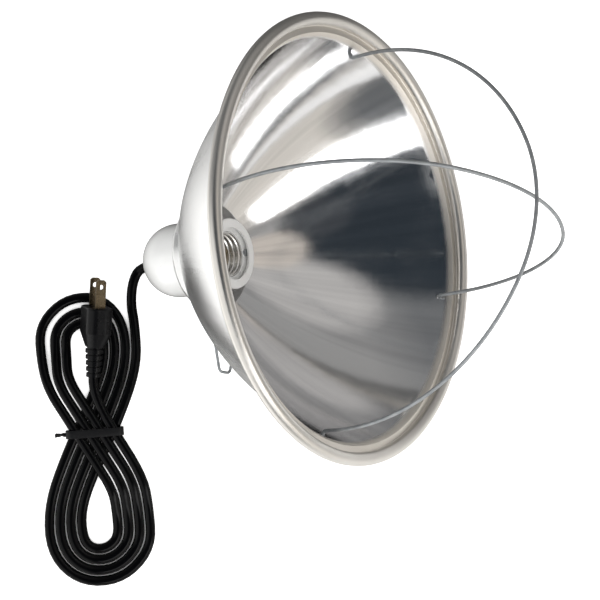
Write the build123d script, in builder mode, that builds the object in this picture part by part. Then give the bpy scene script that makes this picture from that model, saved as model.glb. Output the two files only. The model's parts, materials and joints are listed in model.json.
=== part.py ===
from build123d import *
import os
from math import asin, atan2, cos, degrees, dist, hypot, pi, radians, sin, sqrt, tan

# Heat lamp: a spun aluminium bowl, a porcelain socket with a domed back, two wire
# guard hoops, a hanging ring, and a flexible cord tied in a figure-eight hank.
# The lamp is drawn about its own axis, mouth up, with the middle of the rolled rim
# at z = 0. It is then laid on its side, on the rim and the dome, with the floor at z = 0.
# Local +X becomes the lamp's left (+Y on the floor) and local +Y points up the slope.

# Reflector bowl
rim_radius = 133.35         # outside of the rolled rim, a 10 1/2 inch reflector
bead_radius = 4.0           # outside radius of the roll
sheet = 0.8                 # spun aluminium sheet
mouth_radius = 119.5        # middle of the sheet where the bowl meets the lip
mouth_depth = 5.0           # that edge below the middle of the bead
lip_depth = 1.8             # flat lip below the middle of the bead
lip_width = 3.6             # flat part of the lip
lip_bend = 2.2              # bend between the bowl and the lip
throat_radius = 33.0
throat_depth = 98.0         # throat edge below the middle of the bead
bowl_bulge = 9.7            # rise of the bowl's arc over its chord
neck_depth = 9.0            # cup behind the throat that seats the socket
neck_bend = 2.0
roll_start = 198.0          # the roll starts beside the lip
roll_sweep = -262.0         # and closes under the rim

# Guard hoops, with heights measured from the hinge line
guard_wire_radius = 1.1
guard_hole_depth = 9.0      # hinge holes below the middle of the bead
guard_hole_clearance = 0.2
guard_tip_reach = 3.4       # wire end outside the bowl wall
guard_leg_inset = 2.9       # leg inside the bowl wall
guard_bend = 3.0
guard_arch_base = 6.0       # straight legs end here
guard_arch_turn = 65.0      # arch sides meet the crown at this angle
outer_guard_height = 140.2
inner_guard_height = 131.0
outer_guard_angle = 161.4   # hinge line about the lamp's axis
inner_guard_angle = 71.8
inner_guard_offset = 4.1    # hinge line from the lamp's axis, where the outer one is 0
outer_guard_tilt = 5.6      # about the hinge line, as the hoop stands
inner_guard_tilt = 6.3
outer_guard_flare = 2.5     # legs lean outwards
inner_guard_flare = 12.4
guard_head_radius = 1.9     # swaged head outside the wall
guard_head_length = 1.4

# Socket
sleeve_radius = 19.5        # porcelain sleeve through the neck
sleeve_clearance = 0.3
ring_wall = 2.3             # retaining ring over the sleeve
ring_round = 1.0
thread_clearance = 0.15
ring_front_depth = 85.0     # front of the ring below the middle of the bead
ring_lip = 1.3
ring_lip_inset = 3.4        # lip reaches in over the end of the sleeve
head_room = 2.2             # between that lip and the end of the sleeve
gasket = 1.0
dome_radius = 23.0
dome_wall = 3.5
body_length = 18.6          # rear drum of the porcelain body
seat_floor = 7.0            # porcelain web that carries the contacts
rear_pocket = 7.0
pocket_radius = 13.4

# Medium screw base
thread_minor_radius = 12.55
thread_depth = 0.75
thread_pitch = 3.63
thread_turns = 5
thread_flat = 1.3           # crest and groove flats
shell_wall = 0.4
shell_clearance = 0.3
shell_set_back = 0.5
shell_hole_radius = 7.2     # hole in the floor of the shell
fibre_disc = 0.8

# Contacts and terminals
rivet_radius = 1.2
rivet_head_radius = 1.7
rivet_head = 0.8
rivet_clearance = 0.1
contact_rivet_x = 4.3
shell_rivet_x = -9.6
base_strip = 0.6
base_width = 4.0
base_overhang = 1.7         # strip past the rivet
base_length = 9.0
leaf_strip = 0.5
leaf_width = 4.0
leaf_gap = 0.3
leaf_curl = 0.5             # rolled root that the leaf turns on
leaf_root_x = 1.8
leaf_run = 4.6
leaf_rise = 3.2
terminal_plate = 0.8
terminal_low = -3.0         # plate's two long edges
terminal_high = 6.2
live_plate_near = 2.2
live_plate_far = 11.0
neutral_plate_near = -2.2
neutral_plate_far = -11.6
live_screw_x = 8.4
neutral_screw_x = -4.8
wire_land_x = 7.4           # where each core meets its plate
wire_land_y = 4.7
screw_radius = 1.5
screw_head_radius = 2.2
screw_head = 1.5
screw_clearance = 0.2
screw_thread_clearance = 0.05
terminal_screw_length = 3.4
drive_slot = 0.7
cap_screw_circle = 16.75
cap_screw_grip = 7.0        # thread in the dome's bosses
boss_radius = 3.0
boss_height = 9.0

# Cord and its entry
cord_diameter = 6.2
cord_gap = 0.5              # least air between turns
cord_lift = 0.1             # cord above the floor
bushing_wall = 1.3
bushing_flange = 1.8
bushing_flange_wall = 1.4
bushing_clearance = 0.1
bushing_proud = 0.6
sheath_inside = 8.0         # sheath inside the dome
core_radius = 1.1
core_offset = 1.5
core_straight = 3.5
core_bend = 2.5

# Hanging ring
hanger_wire_radius = 0.9
hanger_radius = 46.0        # place on the bowl, from the lamp's axis
hanger_angle = 168.4        # about the lamp's axis
hanger_width = 24.0
hanger_top_width = 10.0
hanger_reach = 26.0
hanger_corner = 3.5
hanger_tilt = 57.0          # from square to the bowl, towards the rim
hanger_clearance = 0.15
strap_wall = 0.6
strap_width = 8.0
strap_length = 17.0
strap_seat = 0.05
strap_rivet_inset = 2.9

# Hank: a figure eight lying on the floor. Its waist is placed from the middle of the rim
hank_x = -164.3
hank_y = -101.3
hank_turn = -2.4
hank_loops = 4              # loops below the waist, and one fewer above it
loop_pitch = 6.8            # from turn to turn
loop_fan = 2.4              # first turn stands out round the upper left
top_centre = 57.5
top_loop = 19.0
bottom_centre = -62.2
bottom_loop = 21.0
waist_slope = 29.0          # strands at the waist, from the hank's length
waist_hump = 28.0           # half the level run over the crossing
waist_lift = 1.3            # room for the tie under the lower strands
lead_turn_x = -131.2        # lead's turn on the floor, from the middle of the rim
lead_turn_y = -23.5
tail_run = 30.0             # plug strand, straight on from the waist
tail_end_run = 8.0          # and straight into the plug

# Tie round the waist
tie_band = 0.8
tie_width = 5.0
tie_clearance = 0.35
tie_round = 3.0
tie_tail = 8.0
tie_tail_spread = 24.0

# Plug
boot_length = 19.0
boot_ribs = 5
boot_end_radius = 4.2
boot_root_radius = 5.8
boot_groove = 1.0
plug_length = 25.0
plug_shoulder = 9.0
plug_width = 23.5
plug_thickness = 16.5
plug_corner = 6.0
plug_edge = 1.0
blade_spacing = 12.7
blade_width = 6.35
blade_thickness = 1.52
blade_reach = 17.5
blade_root = 9.0
blade_tip_chamfer = 1.2
blade_hole_radius = 1.6
blade_hole_from_tip = 4.4
blade_clearance = 0.05
plug_x = -159.4             # end of the boot, from the middle of the rim
plug_y = -66.0
plug_z = 14.9
plug_heading = 80.5         # on the floor, from +X
plug_pitch = 8.0
plug_roll = 72.0

os.makedirs("parts", exist_ok=True)

# Levels along the lamp's axis, worked out from the sizes above
cord_radius = cord_diameter / 2
neck_floor = -(throat_depth + neck_depth)
neck_front = neck_floor + sheet / 2
neck_back = neck_floor - sheet / 2
ring_radius = sleeve_radius + ring_wall
ring_front = -ring_front_depth
sleeve_front = ring_front - ring_lip - head_room
shoulder = neck_back - gasket
body_back = shoulder - body_length
dome_tip = body_back - dome_radius
pocket_top = body_back + rear_pocket
seat_top = pocket_top + seat_floor
shell_floor = seat_top + fibre_disc
plate_back = pocket_top - terminal_plate
sheath_end = dome_tip + dome_wall + sheath_inside
bead_middle = rim_radius - bead_radius
roll_radius = bead_radius - sheet / 2
groove_radius = thread_minor_radius + thread_depth
shell_bore = groove_radius + shell_wall + shell_clearance

# The bowl's arc: its radius and middle, in the plane of its outline
chord_run = mouth_radius - throat_radius
chord_rise = throat_depth - mouth_depth
chord = hypot(chord_run, chord_rise)
bowl_arc = chord * chord / (8 * bowl_bulge) + bowl_bulge / 2
arc_x = (mouth_radius + throat_radius) / 2 - chord_rise / chord * (bowl_arc - bowl_bulge)
arc_z = -(mouth_depth + throat_depth) / 2 + chord_run / chord * (bowl_arc - bowl_bulge)

# The lamp rests on its rim and its dome, so its slope follows from their sizes
rest_span = hypot(bead_middle, body_back)
lamp_slope = atan2(bead_middle, -body_back) - asin((dome_radius - bead_radius) / rest_span)
rim_height = dome_radius - body_back * sin(lamp_slope)
lamp_axis = (cos(lamp_slope), 0, sin(lamp_slope))


def about_axis(angle, radius=1.0, height=0.0):
    return Vector(radius * cos(radians(angle)), radius * sin(radians(angle)), height)


def wall_radius(height):
    return arc_x + sqrt(bowl_arc**2 - (height - arc_z) ** 2)


def hinge_middle(angle, offset):
    return about_axis(angle + 90, offset, -guard_hole_depth)


lamp_pieces = {}            # finished pieces, drawn about the lamp's axis
plug_pieces = {}            # finished pieces, drawn about the plug's axis
floor_pieces = {}           # finished pieces, drawn where they lie

# Place of the hanging ring on the outside of the bowl
hanger_height = arc_z - sqrt(bowl_arc**2 - (hanger_radius - arc_x) ** 2)
hanger_out = Vector((hanger_radius - arc_x) / bowl_arc, 0, (hanger_height - arc_z) / bowl_arc)
hanger_normal = hanger_out.rotate(Axis.Z, hanger_angle)
hanger_seat = about_axis(hanger_angle, hanger_radius, hanger_height) + hanger_normal * (sheet / 2)
hanger_along = about_axis(hanger_angle + 90)
hanger_plane = Plane(origin=hanger_seat, x_dir=hanger_along, z_dir=hanger_normal)
bar_height = strap_seat + hanger_wire_radius + hanger_clearance
bar_middle = hanger_plane.from_local_coords((0, 0, bar_height))
strap_rivet_y = strap_length / 2 - strap_rivet_inset

# Reflector: neck cup, bowl, lip and rolled rim spun from one sheet
with BuildPart() as reflector:
    with BuildSketch(Plane.XZ):
        with BuildLine() as bowl_line:
            FilletPolyline(
                (sleeve_radius + sleeve_clearance, neck_floor),
                (throat_radius, neck_floor),
                (throat_radius, -throat_depth),
                radius=neck_bend,
            )
            bowl = SagittaArc((throat_radius, -throat_depth), (mouth_radius, -mouth_depth), -bowl_bulge)
            lip_inner = (mouth_radius + lip_bend, -lip_depth)
            TangentArc(bowl @ 1, lip_inner, tangent=bowl % 1)
            lip = Line(lip_inner, (lip_inner[0] + lip_width, -lip_depth))
            roll = CenterArc((bead_middle, 0), roll_radius, roll_start, roll_sweep)
            Line(lip @ 1, roll @ 0)
        trace(bowl_line.line, line_width=sheet)
    revolve(axis=Axis.Z)
    for angle, offset in ((outer_guard_angle, 0), (inner_guard_angle, inner_guard_offset)):
        with Locations(Plane(origin=hinge_middle(angle, offset), z_dir=about_axis(angle))):
            Cylinder(guard_wire_radius + guard_hole_clearance, 2 * rim_radius, mode=Mode.SUBTRACT)
    with Locations(hanger_plane):
        with Locations((0, strap_rivet_y, 0), (0, -strap_rivet_y, 0)):
            Cylinder(rivet_radius + rivet_clearance, 6 * sheet, mode=Mode.SUBTRACT)
lamp_pieces["reflector"] = reflector

# Guard hoops: each a sprung wire that turns in two holes across the bowl
hinge_wall = wall_radius(-guard_hole_depth)


def guard_hoop(height, angle, offset, tilt, flare):
    hinge_half = sqrt(hinge_wall**2 - offset**2)
    guard_tip = hinge_half + guard_tip_reach
    guard_leg = hinge_half - guard_leg_inset
    half_span = guard_leg + guard_arch_base * tan(radians(flare))
    arch_height = height - guard_arch_base
    foot_x, foot_y = cos(radians(flare)), -sin(radians(flare))
    joint_x, joint_y = cos(radians(guard_arch_turn)), sin(radians(guard_arch_turn))
    spread = (foot_x - joint_x) * (1 - joint_y) - joint_x * (joint_y - foot_y)
    crown_radius = (arch_height * (foot_x - joint_x) - half_span * (joint_y - foot_y)) / spread
    side_radius = (half_span * (1 - joint_y) - arch_height * joint_x) / spread
    crown_y = height - crown_radius
    side_x = (crown_radius - side_radius) * joint_x
    side_y = crown_y + (crown_radius - side_radius) * joint_y
    side_turn = guard_arch_turn + flare
    across = about_axis(angle)
    upright = Vector(0, 0, 1).rotate(Axis((0, 0, 0), across), tilt)
    middle = hinge_middle(angle, offset)
    hinge_plane = Plane(origin=middle, x_dir=across, z_dir=across.cross(upright))

    def leg(side):
        return [(side * guard_tip, 0), (side * guard_leg, 0), (side * half_span, guard_arch_base)]

    with BuildPart() as hoop:
        with BuildLine(hinge_plane) as wire:
            FilletPolyline(*leg(1), radius=guard_bend)
            CenterArc((side_x, side_y), side_radius, -flare, side_turn)
            CenterArc((0, crown_y), crown_radius, guard_arch_turn, 180 - 2 * guard_arch_turn)
            CenterArc((-side_x, side_y), side_radius, 180 - guard_arch_turn, side_turn)
            FilletPolyline(*leg(-1), radius=guard_bend)
        with BuildSketch(Plane(origin=wire.line @ 0, z_dir=wire.line % 0)):
            Circle(guard_wire_radius)
        sweep(path=wire.wire())
        for side in (1, -1):
            tip = hinge_plane.from_local_coords((side * guard_tip, 0, 0))
            with Locations(Plane(origin=tip, z_dir=across * side)):
                Cylinder(
                    guard_head_radius,
                    guard_head_length,
                    align=(Align.CENTER, Align.CENTER, Align.MAX),
                )
    return hoop


lamp_pieces["outer_guard_wire"] = guard_hoop(
    outer_guard_height, outer_guard_angle, 0, outer_guard_tilt, outer_guard_flare
)
lamp_pieces["inner_guard_wire"] = guard_hoop(
    inner_guard_height, inner_guard_angle, inner_guard_offset, inner_guard_tilt, inner_guard_flare
)
print("hinge wall", round(hinge_wall, 2))

# Retaining ring: screws over the sleeve and clamps the bowl's neck
with BuildPart() as retaining_ring:
    ring_bore = sleeve_radius + thread_clearance
    lip_bore = sleeve_radius - ring_lip_inset
    with BuildSketch(Plane.XZ):
        with BuildLine():
            Polyline(
                (ring_bore, neck_front),
                (ring_radius, neck_front),
                (ring_radius, ring_front),
                (lip_bore, ring_front),
                (lip_bore, ring_front - ring_lip),
                (ring_bore, ring_front - ring_lip),
                close=True,
            )
        make_face()
    revolve(axis=Axis.Z)
    front_edges = retaining_ring.edges().filter_by(GeomType.CIRCLE).group_by(Axis.Z)[-1]
    fillet(front_edges.sort_by(SortBy.RADIUS)[-1], ring_round)
lamp_pieces["retaining_ring"] = retaining_ring

# Gasket between the bowl's neck and the porcelain shoulder
with BuildPart() as socket_gasket:
    with BuildSketch(Plane.XY.offset(shoulder)):
        Circle(dome_radius)
        Circle(sleeve_radius + sleeve_clearance, mode=Mode.SUBTRACT)
    extrude(amount=gasket)
lamp_pieces["socket_gasket"] = socket_gasket

# Socket body: porcelain sleeve, drum and the web that carries the contacts
cap_screw_places = [(0, cap_screw_circle), (0, -cap_screw_circle)]
with BuildPart() as socket_body:
    with BuildSketch(Plane.XZ):
        with BuildLine():
            Polyline(
                (0, pocket_top),
                (pocket_radius, pocket_top),
                (pocket_radius, body_back),
                (dome_radius, body_back),
                (dome_radius, shoulder),
                (sleeve_radius, shoulder),
                (sleeve_radius, sleeve_front),
                (shell_bore, sleeve_front),
                (shell_bore, seat_top),
                (0, seat_top),
                close=True,
            )
        make_face()
    revolve(axis=Axis.Z)
    with Locations(Plane.XY.offset(sleeve_front)):
        with Locations(*cap_screw_places):
            Hole(screw_radius + screw_clearance)
    with Locations(Plane.XY.offset(seat_top)):
        with Locations((contact_rivet_x, 0), (shell_rivet_x, 0)):
            Hole(rivet_radius + rivet_clearance)
    with BuildSketch(Plane.XY.offset(pocket_top)):
        with Locations((live_screw_x, 0), (neutral_screw_x, 0)):
            Circle(screw_radius + screw_clearance)
    extrude(amount=terminal_screw_length, mode=Mode.SUBTRACT)
lamp_pieces["socket_body"] = socket_body

# Socket cap: the porcelain dome that closes the back
bushing_bore = cord_radius + bushing_clearance
bushing_radius = bushing_bore + bushing_wall
with BuildPart() as socket_cap:
    with BuildSketch(Plane.XZ):
        with BuildLine():
            Line((0, dome_tip), (0, dome_tip + dome_wall))
            RadiusArc((0, dome_tip + dome_wall), (dome_radius - dome_wall, body_back), -(dome_radius - dome_wall))
            Line((dome_radius - dome_wall, body_back), (dome_radius, body_back))
            RadiusArc((dome_radius, body_back), (0, dome_tip), dome_radius)
        make_face()
    revolve(axis=Axis.Z)
    with BuildSketch(Plane.XY.offset(body_back)):
        with Locations(*cap_screw_places):
            Circle(boss_radius)
    extrude(amount=-boss_height)
    with Locations(Plane.XY.offset(body_back)):
        with Locations(*cap_screw_places):
            Hole(screw_radius + screw_thread_clearance, depth=cap_screw_grip + screw_clearance)
    with Locations(Plane.XY.offset(dome_tip + dome_wall)):
        Hole(bushing_radius + bushing_clearance)
lamp_pieces["socket_cap"] = socket_cap


# A slotted screw whose head sits on a plane, with its shank down the plane's normal
def slotted_screw(seats, length, head_radius):
    with BuildPart() as screws:
        for seat in seats:
            with BuildSketch(seat):
                Circle(head_radius)
            extrude(amount=screw_head)
            with BuildSketch(seat):
                Circle(screw_radius)
            extrude(amount=-length)
            with BuildSketch(seat.offset(screw_head)):
                Rectangle(2.2 * head_radius, drive_slot)
            extrude(amount=-screw_head / 2, mode=Mode.SUBTRACT)
    return screws


cap_screw_seats = [Plane(origin=(x, y, sleeve_front)) for x, y in cap_screw_places]
lamp_pieces["cap_screws"] = slotted_screw(
    cap_screw_seats, sleeve_front - body_back + cap_screw_grip, screw_head_radius
)

# Screw shell: rolled thread rings, a straight skirt and a pierced floor
with BuildPart() as screw_shell:
    shell_front = sleeve_front - shell_set_back
    thread_slope = thread_pitch / 2 - thread_flat
    inside = [(groove_radius, shell_front)]
    for turn in range(thread_turns):
        turn_front = shell_front - turn * thread_pitch
        inside += [
            (groove_radius, turn_front - thread_flat),
            (thread_minor_radius, turn_front - thread_flat - thread_slope),
            (thread_minor_radius, turn_front - 2 * thread_flat - thread_slope),
            (groove_radius, turn_front - thread_pitch),
        ]
    inside += [(groove_radius, shell_floor + shell_wall), (shell_hole_radius, shell_floor + shell_wall)]
    outside = [(shell_hole_radius, shell_floor), (groove_radius + shell_wall, shell_floor)]
    outside += [(radius + shell_wall, height) for radius, height in reversed(inside[:-2])]
    with BuildSketch(Plane.XZ):
        with BuildLine():
            Polyline(*inside, *outside, close=True)
        make_face()
    revolve(axis=Axis.Z)
    with Locations(Plane.XY.offset(shell_floor + shell_wall)):
        with Locations((shell_rivet_x, 0)):
            Hole(rivet_radius + rivet_clearance)
lamp_pieces["screw_shell"] = screw_shell

# Fibre disc under the shell and the contact
with BuildPart() as insulating_disc:
    with BuildSketch(Plane.XY.offset(seat_top)):
        Circle(shell_bore - shell_clearance)
        with Locations((contact_rivet_x, 0), (shell_rivet_x, 0)):
            Circle(rivet_radius + rivet_clearance, mode=Mode.SUBTRACT)
    extrude(amount=fibre_disc)
lamp_pieces["insulating_disc"] = insulating_disc

# Contact base: the strip under the leaf, riveted through the web
base_far = contact_rivet_x + base_overhang
with BuildPart() as contact_base:
    with BuildSketch(Plane.XY.offset(shell_floor)):
        with Locations((base_far - base_length / 2, 0)):
            RectangleRounded(base_length, base_width, base_width / 4)
        with Locations((contact_rivet_x, 0)):
            Circle(rivet_radius + rivet_clearance, mode=Mode.SUBTRACT)
    extrude(amount=base_strip)
lamp_pieces["contact_base"] = contact_base

# Centre contact: a leaf that the bulb's tip presses down
leaf_root = shell_floor + base_strip + leaf_gap
with BuildPart() as centre_contact:
    with BuildSketch(Plane.XZ):
        with Locations((leaf_root_x, leaf_root + leaf_curl)):
            Circle(leaf_curl)
        with BuildLine():
            Polyline(
                (leaf_root_x, leaf_root),
                (leaf_root_x, leaf_root + leaf_strip),
                (leaf_root_x - leaf_run, leaf_root + leaf_rise),
                (leaf_root_x - leaf_run - leaf_strip, leaf_root + leaf_rise - leaf_strip),
                (leaf_root_x - leaf_strip, leaf_root),
                close=True,
            )
        make_face()
    extrude(amount=leaf_width / 2, both=True)
lamp_pieces["centre_contact"] = centre_contact


# A rivet through the web: its front head on one level, its back head on another
def web_rivet(x, front, back):
    with BuildPart() as rivet:
        with BuildSketch(Plane.XY.offset(back)):
            with Locations((x, 0)):
                Circle(rivet_radius)
        extrude(amount=front - back)
        with BuildSketch(Plane.XY.offset(front)):
            with Locations((x, 0)):
                Circle(rivet_head_radius)
        extrude(amount=rivet_head)
        with BuildSketch(Plane.XY.offset(back)):
            with Locations((x, 0)):
                Circle(rivet_head_radius)
        extrude(amount=-rivet_head)
    return rivet


lamp_pieces["contact_rivet"] = web_rivet(contact_rivet_x, shell_floor + base_strip, plate_back)
lamp_pieces["shell_rivet"] = web_rivet(shell_rivet_x, shell_floor + shell_wall, plate_back)


# Terminal plates on the back of the web, with their screws
def terminal(near, far, rivet_x, screw_x):
    with BuildPart() as plate:
        with BuildSketch(Plane.XY.offset(plate_back)):
            with Locations(((near + far) / 2, (terminal_low + terminal_high) / 2)):
                Rectangle(abs(far - near), terminal_high - terminal_low)
            with Locations((rivet_x, 0)):
                Circle(rivet_radius + rivet_clearance, mode=Mode.SUBTRACT)
            with Locations((screw_x, 0)):
                Circle(screw_radius + screw_thread_clearance, mode=Mode.SUBTRACT)
        extrude(amount=terminal_plate)
    return plate


lamp_pieces["live_terminal"] = terminal(live_plate_near, live_plate_far, contact_rivet_x, live_screw_x)
lamp_pieces["neutral_terminal"] = terminal(
    neutral_plate_near, neutral_plate_far, shell_rivet_x, neutral_screw_x
)
for wire_name, screw_x in (("live", live_screw_x), ("neutral", neutral_screw_x)):
    seat = Plane(origin=(screw_x, 0, plate_back), z_dir=(0, 0, -1))
    lamp_pieces[wire_name + "_terminal_screw"] = slotted_screw(
        [seat], terminal_screw_length, screw_head_radius
    )

# Insulated cores from the end of the sheath to the terminal plates
for wire_name, side in (("live", 1), ("neutral", -1)):
    with BuildPart() as core:
        with BuildLine() as core_line:
            FilletPolyline(
                (side * core_offset, 0, sheath_end),
                (side * core_offset, 0, sheath_end + core_straight),
                (side * wire_land_x, wire_land_y, plate_back - core_straight),
                (side * wire_land_x, wire_land_y, plate_back),
                radius=core_bend,
            )
        with BuildSketch(Plane(origin=core_line.line @ 0, z_dir=core_line.line % 0)):
            Circle(core_radius)
        sweep(path=core_line.wire())
    lamp_pieces[wire_name + "_conductor"] = core

# Cord bushing in the back of the dome
flange_radius = bushing_radius + bushing_flange
flange_seat = body_back - sqrt((dome_radius - dome_wall) ** 2 - flange_radius**2) + bushing_clearance
with BuildPart() as cord_bushing:
    with BuildSketch(Plane.XZ):
        with BuildLine():
            Polyline(
                (bushing_bore, dome_tip - bushing_proud),
                (bushing_radius, dome_tip - bushing_proud),
                (bushing_radius, flange_seat),
                (flange_radius, flange_seat),
                (flange_radius, flange_seat + bushing_flange_wall),
                (bushing_bore, flange_seat + bushing_flange_wall),
                close=True,
            )
        make_face()
    revolve(axis=Axis.Z)
lamp_pieces["cord_bushing"] = cord_bushing

# Hanging ring: a wire ring that turns under a riveted strap on the back of the bowl
ring_way = hanger_normal * cos(radians(hanger_tilt)) + hanger_plane.y_dir * sin(radians(hanger_tilt))
ring_plane = Plane(origin=bar_middle, x_dir=hanger_along, z_dir=hanger_along.cross(ring_way))
with BuildPart() as hanging_ring:
    with BuildLine(ring_plane) as ring_line:
        FilletPolyline(
            (-hanger_width / 2, 0),
            (hanger_width / 2, 0),
            (hanger_top_width / 2, hanger_reach),
            (-hanger_top_width / 2, hanger_reach),
            radius=hanger_corner,
            close=True,
        )
    with BuildSketch(Plane(origin=ring_line.line @ 0, z_dir=ring_line.line % 0)):
        Circle(hanger_wire_radius)
    sweep(path=ring_line.wire())
lamp_pieces["hanging_ring"] = hanging_ring

hump_bore = hanger_wire_radius + hanger_clearance
strap_side = Plane(origin=hanger_seat, x_dir=hanger_plane.y_dir, z_dir=hanger_along)
with BuildPart() as hanger_strap:
    with BuildSketch(strap_side):
        with Locations((0, strap_seat + strap_wall / 2)):
            Rectangle(strap_length, strap_wall)
        with Locations((0, bar_height)):
            Circle(hump_bore + strap_wall)
        with Locations((0, strap_seat)):
            Rectangle(2 * strap_length, strap_length, align=(Align.CENTER, Align.MAX), mode=Mode.SUBTRACT)
        with Locations((0, bar_height)):
            Circle(hump_bore, mode=Mode.SUBTRACT)
        Rectangle(2 * hump_bore, bar_height, align=(Align.CENTER, Align.MIN), mode=Mode.SUBTRACT)
    extrude(amount=strap_width / 2, both=True)
    with Locations(hanger_plane):
        with Locations((0, strap_rivet_y, 0), (0, -strap_rivet_y, 0)):
            Cylinder(rivet_radius + rivet_clearance, 4 * strap_wall, mode=Mode.SUBTRACT)
lamp_pieces["hanger_strap"] = hanger_strap

with BuildPart() as hanger_rivets:
    for y in (strap_rivet_y, -strap_rivet_y):
        foot = Plane(origin=hanger_plane.from_local_coords((0, y, 0)), z_dir=hanger_normal)
        strap_top = strap_seat + strap_wall
        rivet_inside = -sheet - strap_wall
        with BuildSketch(foot.offset(strap_top)):
            Circle(rivet_head_radius)
        extrude(amount=rivet_head)
        with BuildSketch(foot.offset(rivet_inside)):
            Circle(rivet_radius)
        extrude(amount=strap_top - rivet_inside)
        with BuildSketch(foot.offset(rivet_inside)):
            Circle(rivet_head_radius)
        extrude(amount=-rivet_head)
lamp_pieces["hanger_rivets"] = hanger_rivets

# The lamp is laid down with the middle of its box over the floor's origin
lamp_boxes = [
    builder.part.moved(Plane(origin=(0, 0, rim_height), x_dir=(0, 1, 0), z_dir=lamp_axis).location)
    for builder in lamp_pieces.values()
]
lamp_extent = Compound(children=lamp_boxes).bounding_box()
rim_x = -(lamp_extent.min.X + lamp_extent.max.X) / 2
lamp_plane = Plane(origin=(rim_x, 0, rim_height), x_dir=(0, 1, 0), z_dir=lamp_axis)

# Hank: the turns lie side by side on the floor and pass over each other at the waist
floor_level = cord_radius + cord_lift
under_level = floor_level + waist_lift
over_level = under_level + cord_diameter + cord_gap
first_slot = loop_pitch * (hank_loops - 0.375) / 2
hank_plane = Plane(origin=(rim_x + hank_x, hank_y, 0), x_dir=about_axis(hank_turn), z_dir=(0, 0, 1))
down_left = (-sin(radians(waist_slope)), -cos(radians(waist_slope)))
up_left = (-sin(radians(waist_slope)), cos(radians(waist_slope)))
# Each station: middle of the ribbon of turns, heading, level, and share of a full figure eight
right_top = ((top_loop, top_centre), (0, -1), floor_level, 0.0)
waist_down = ((0, 0), down_left, under_level, 0.125)
left_bottom = ((-bottom_loop, bottom_centre), (0, -1), floor_level, 0.25)
bottom = ((0, bottom_centre - bottom_loop), (1, 0), floor_level, 0.375)
right_bottom = ((bottom_loop, bottom_centre), (0, 1), floor_level, 0.5)
waist_in = ((-waist_hump * up_left[0], -waist_hump * up_left[1]), up_left, over_level, 0.6)
waist_out = ((waist_hump * up_left[0], waist_hump * up_left[1]), up_left, over_level, 0.65)
left_top = ((-top_loop, top_centre), (0, 1), floor_level, 0.75)
top = ((0, top_centre + top_loop), (1, 0), floor_level, 0.875)
eight = [waist_down, left_bottom, bottom, right_bottom, waist_in, waist_out, left_top, top, right_top]
hank_stations = []


def station(place, turn):
    (across, along), (way_x, way_y), level, share = place
    fan = loop_fan if turn == 0 and place in (left_top, top) else 0.0
    slot = first_slot - loop_pitch * (turn + share) + fan
    point = hank_plane.from_local_coords((across - slot * way_y, along + slot * way_x, level))
    heading = hank_plane.from_local_coords((way_x, way_y, 0)) - hank_plane.origin
    return point, heading


hank_stations.append(station(right_top, 0))
for turn in range(hank_loops):
    last = turn == hank_loops - 1
    for place in eight[:5] if last else eight:
        hank_stations.append(station(place, turn + 1 if place is right_top else turn))


# Two tangent arcs from one station to the next
def biarc(start, end):
    (point_a, way_a), (point_b, way_b) = start, end
    gap = point_b - point_a
    ways = way_a + way_b
    spread = 2 * (1 - way_a.dot(way_b))
    if spread < 1e-9:
        reach = gap.dot(gap) / (4 * gap.dot(way_b))
    else:
        along = gap.dot(ways)
        reach = (sqrt(along**2 + spread * gap.dot(gap)) - along) / spread
    joint = (point_a + point_b + (way_a - way_b) * reach) * 0.5
    if (gap.normalized() - way_a).length < 1e-6:
        return [Line(point_a, point_b)]
    first = TangentArc(point_a, joint, tangent=way_a)
    return [first, TangentArc(joint, point_b, tangent=first % 1)]


with BuildPart() as cord_hank:
    with BuildLine() as hank_line:
        for start, end in zip(hank_stations, hank_stations[1:]):
            biarc(start, end)
    hank_path = hank_line.wire()
    with BuildSketch(Plane(origin=hank_path @ 0, z_dir=hank_path % 0)):
        Circle(cord_radius)
    sweep(path=hank_path)
floor_pieces["cord_hank"] = cord_hank


# Air between the turns, measured on points along the middle of the cord
def least_gap(path, spacing=2.0):
    count = int(path.length / spacing)
    points = [tuple(path @ (i / count)) for i in range(count + 1)]
    apart = int(3 * cord_diameter / spacing)
    return min(
        dist(points[i], points[j]) for i in range(count) for j in range(i + apart, count + 1)
    ) - cord_diameter


# A cord's free stretch: straight runs joined by arcs as large as the runs allow
def cord_stretch(name, points):
    runs = [b - a for a, b in zip(points, points[1:])]
    radii = []
    for run_in, run_out in zip(runs, runs[1:]):
        half_turn = radians(run_in.get_angle(run_out)) / 2
        radii.append(0.45 * min(run_in.length, run_out.length) / tan(half_turn))
    with BuildPart() as stretch:
        with BuildLine() as line:
            FilletPolyline(*points, radius=radii)
        path = line.wire()
        with BuildSketch(Plane(origin=path @ 0, z_dir=path % 0)):
            Circle(cord_radius)
        sweep(path=path)
    print(name, "radii", [round(radius, 1) for radius in radii], "length", round(path.length, 1))
    print(name, "volume by section", round(stretch.part.volume / (pi * cord_radius**2 * path.length), 4))
    floor_pieces[name] = stretch
    return path.length


# Lead: out of the dome, down to the floor and round into the hank
hank_start, hank_heading = hank_stations[0]
sheath_start = lamp_plane.from_local_coords((0, 0, sheath_end))
exit_point = lamp_plane.from_local_coords((0, 0, dome_tip))
down_run = (exit_point.Z - floor_level) / lamp_axis[2]
floor_corner = exit_point - Vector(*lamp_axis) * down_run
lead_points = [
    sheath_start,
    floor_corner,
    floor_corner + Vector(-6.6, -9.4, 0),
    Vector(rim_x + lead_turn_x, lead_turn_y, floor_level),
    hank_start - hank_heading * 9.5,
    hank_start,
]
lead_length = cord_stretch("cord_lead", lead_points)

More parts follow.
